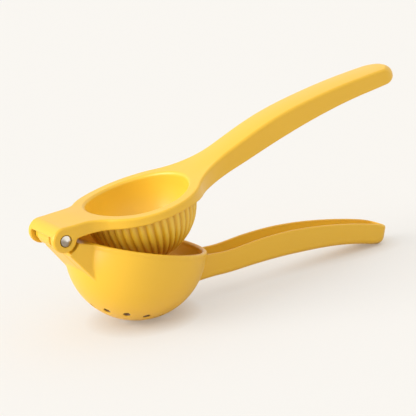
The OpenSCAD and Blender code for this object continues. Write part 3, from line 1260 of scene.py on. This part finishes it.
# ---------------------------------------------------------------- placing and studio
@dataclass(frozen=True)
class Rest:
    """How the levers stand on the floor, worked out from the pin's place in the frame."""

    hinge: Hinge
    cup: CupLever
    open_angle: float = math.radians(26.9)

    @property
    def tilt(self) -> float:
        """Tilt of the cup lever about Y, which brings its pin to the pin of the frame.

        Returns:
            The angle, in radians.
        """
        pin = frame["record"]["behaviour"]["joints"][0]["pos_m"]
        drawn = math.atan2(self.cup.band + self.hinge.pin_rise, -self.hinge.cup_reach)
        stands = math.atan2(pin[2] / MM - self.cup.cup_r, pin[0] / MM)
        return drawn - stands

    @property
    def cup_place(self) -> Matrix:
        """From the cup's frame, in millimetres, to the shared one, in metres."""
        return (Matrix.Scale(MM, 4) @ Matrix.Translation((0, 0, self.cup.cup_r))
                @ Matrix.Rotation(self.tilt, 4, "Y"))

    @property
    def press_place(self) -> Matrix:
        """From the press lever's frame, in millimetres, to the shared one, in metres."""
        pin = Matrix.Translation((-self.hinge.cup_reach, 0, self.cup.band + self.hinge.pin_rise))
        return self.cup_place @ pin @ Matrix.Rotation(-self.open_angle, 4, "Y")


@dataclass(frozen=True)
class Viewpoint:
    """Camera, aimed in the cup's frame at a point of the middle plane, aim_z above the rim."""

    azimuth: float = math.radians(33.99)
    elevation: float = math.radians(7.05)
    roll: float = math.radians(8.76)
    distance: float = 713.87
    aim_x: float = 41.9
    aim_z: float = 20.15
    lens: float = 112.5
    sensor: float = 36.0
    near: float = 0.05
    far: float = 20.0

    def build(self, rest: Rest) -> bpy.types.Object:
        """Makes the scene's camera.

        Args:
            rest: How the squeezer stands.

        Returns:
            The camera.
        """
        flat = math.cos(self.elevation)
        ahead = Vector((math.sin(self.azimuth) * flat, math.cos(self.azimuth) * flat,
                        -math.sin(self.elevation)))
        right = Vector((math.cos(self.azimuth), -math.sin(self.azimuth), 0))
        up = right.cross(ahead)
        right, up = (math.cos(self.roll) * right + math.sin(self.roll) * up,
                     math.cos(self.roll) * up - math.sin(self.roll) * right)
        eye = Vector((self.aim_x, 0, self.aim_z + rest.cup.band)) - self.distance * ahead
        axes = Matrix((right, up, -ahead)).transposed().to_4x4()
        turn = Matrix.Rotation(rest.tilt, 4, "Y")
        data = bpy.data.cameras.new("camera")
        data.lens, data.sensor_width, data.sensor_fit = self.lens, self.sensor, "HORIZONTAL"
        data.clip_start, data.clip_end = self.near, self.far
        camera = bpy.data.objects.new("camera", data)
        bpy.context.scene.collection.objects.link(camera)
        camera.matrix_world = Matrix.Translation(rest.cup_place @ eye) @ turn @ axes
        bpy.context.scene.camera = camera
        return camera


@dataclass(frozen=True)
class Studio:
    """Pale floor and soft light."""

    backdrop: tuple[float, float, float, float] = colour(250, 248, 244)
    sky: tuple[float, float, float, float] = (1.0, 0.99, 0.975, 1.0)
    horizon_light: float = 0.48
    zenith_light: float = 1.14
    sun_power: float = 2.6
    sun_angle: float = math.radians(45)
    sun_from: tuple[float, float, float] = (-0.9, 0.22, 0.37)
    paint: tuple[float, float, float, float] = colour(228, 225, 220)
    floor_glow: float = 0.5
    floor_size: float = 8.0
    # Painted shadow on the floor near the squeezer: its colour and reach.
    painted_contact_shadow: tuple[float, float, float, float] = colour(208, 186, 160)
    painted_shadow_reach: float = 12.0

    def world(self) -> None:
        """Light that grows towards the zenith; the camera and reflections see the backdrop instead."""
        world = bpy.data.worlds.new("studio")
        bpy.context.scene.world = world
        world.use_nodes = True
        nodes, links = world.node_tree.nodes, world.node_tree.links
        light = nodes["Background"]
        light.inputs["Color"].default_value = self.sky
        place, split = nodes.new("ShaderNodeTexCoord"), nodes.new("ShaderNodeSeparateXYZ")
        height = nodes.new("ShaderNodeMapRange")
        feed_all(world.node_tree, height, {"Value": split.outputs["Z"], "To Min": self.horizon_light,
                                           "To Max": self.zenith_light})
        links.new(place.outputs["Generated"], split.inputs[0])
        links.new(height.outputs["Result"], light.inputs["Strength"])
        seen = nodes.new("ShaderNodeBackground")
        seen.inputs["Color"].default_value = self.backdrop
        path, mix = nodes.new("ShaderNodeLightPath"), nodes.new("ShaderNodeMixShader")
        ray = path.outputs["Is Camera Ray"]
        for label in ("Is Glossy Ray", "Is Transmission Ray"):
            ray = math_node(world.node_tree, "MAXIMUM", ray, path.outputs[label])
        links.new(ray, mix.inputs["Fac"])
        links.new(light.outputs[0], mix.inputs[1])
        links.new(seen.outputs[0], mix.inputs[2])
        links.new(mix.outputs[0], nodes["World Output"].inputs["Surface"])

    def floor(self) -> bpy.types.Object:
        """Flat floor that the squeezer stands on.

        Returns:
            The floor.
        """
        half = self.floor_size / 2
        mesh = bpy.data.meshes.new("floor")
        corners = [(-half, -half, 0), (half, -half, 0), (half, half, 0), (-half, half, 0)]
        mesh.from_pydata(corners, [], [(0, 1, 2, 3)])
        floor = bpy.data.objects.new("floor", mesh)
        bpy.context.scene.collection.objects.link(floor)
        material = bpy.data.materials.new("floor paint")
        material.use_nodes = True
        tree = material.node_tree
        shader = tree.nodes["Principled BSDF"]
        feed_all(tree, shader, {"Base Color": self.paint, "Roughness": 1.0, "Specular IOR Level": 0.0})
        glow, mix = tree.nodes.new("ShaderNodeEmission"), tree.nodes.new("ShaderNodeMixShader")
        # Painted shadow: near the squeezer the floor's glow turns towards the painted contact shadow colour.
        near = tree.nodes.new("ShaderNodeAmbientOcclusion")
        near.inputs["Distance"].default_value = self.painted_shadow_reach * MM
        feed(tree, glow.inputs["Color"], mix_node(tree, near.outputs["AO"], self.painted_contact_shadow, self.backdrop))
        path = tree.nodes.new("ShaderNodeLightPath")
        share = math_node(tree, "MULTIPLY", path.outputs["Is Camera Ray"], self.floor_glow)
        for port, value in zip(mix.inputs, (share, shader.outputs[0], glow.outputs[0])):
            feed(tree, port, value)
        feed(tree, tree.nodes["Material Output"].inputs["Surface"], mix.outputs[0])
        mesh.materials.append(material)
        return floor

    def build(self) -> None:
        """Makes the world, the floor and a wide sun."""
        self.world()
        self.floor()
        sun = bpy.data.lights.new("sun", "SUN")
        sun.energy, sun.angle = self.sun_power, self.sun_angle
        lamp = bpy.data.objects.new("sun", sun)
        lamp.rotation_euler = Vector(self.sun_from).to_track_quat("Z", "Y").to_euler()
        bpy.context.scene.collection.objects.link(lamp)


def main() -> None:
    """Builds the squeezer, its finishes and the studio."""
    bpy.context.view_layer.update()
    bpy.context.scene.view_settings.view_transform = "Standard"
    hinge = Hinge()
    cup = CupLever(hinge)
    press = PressLever(hinge)
    rest = Rest(hinge, cup)
    Viewpoint().build(rest)
    Studio().build()
    enamel, steel = ENAMEL.build(), STEEL.build()
    ENAMEL.dress(cup.build(rest.cup_place), enamel, Body.CUP)
    ENAMEL.dress(press.build(rest.press_place), enamel, Body.PRESS)
    ENAMEL.dress(Flutes(press).build(rest.press_place), enamel, Body.PRESS)
    STEEL.dress(HingePin(hinge).build(rest.press_place), steel, Body.PRESS)


if __name__ == "__main__":
    main()
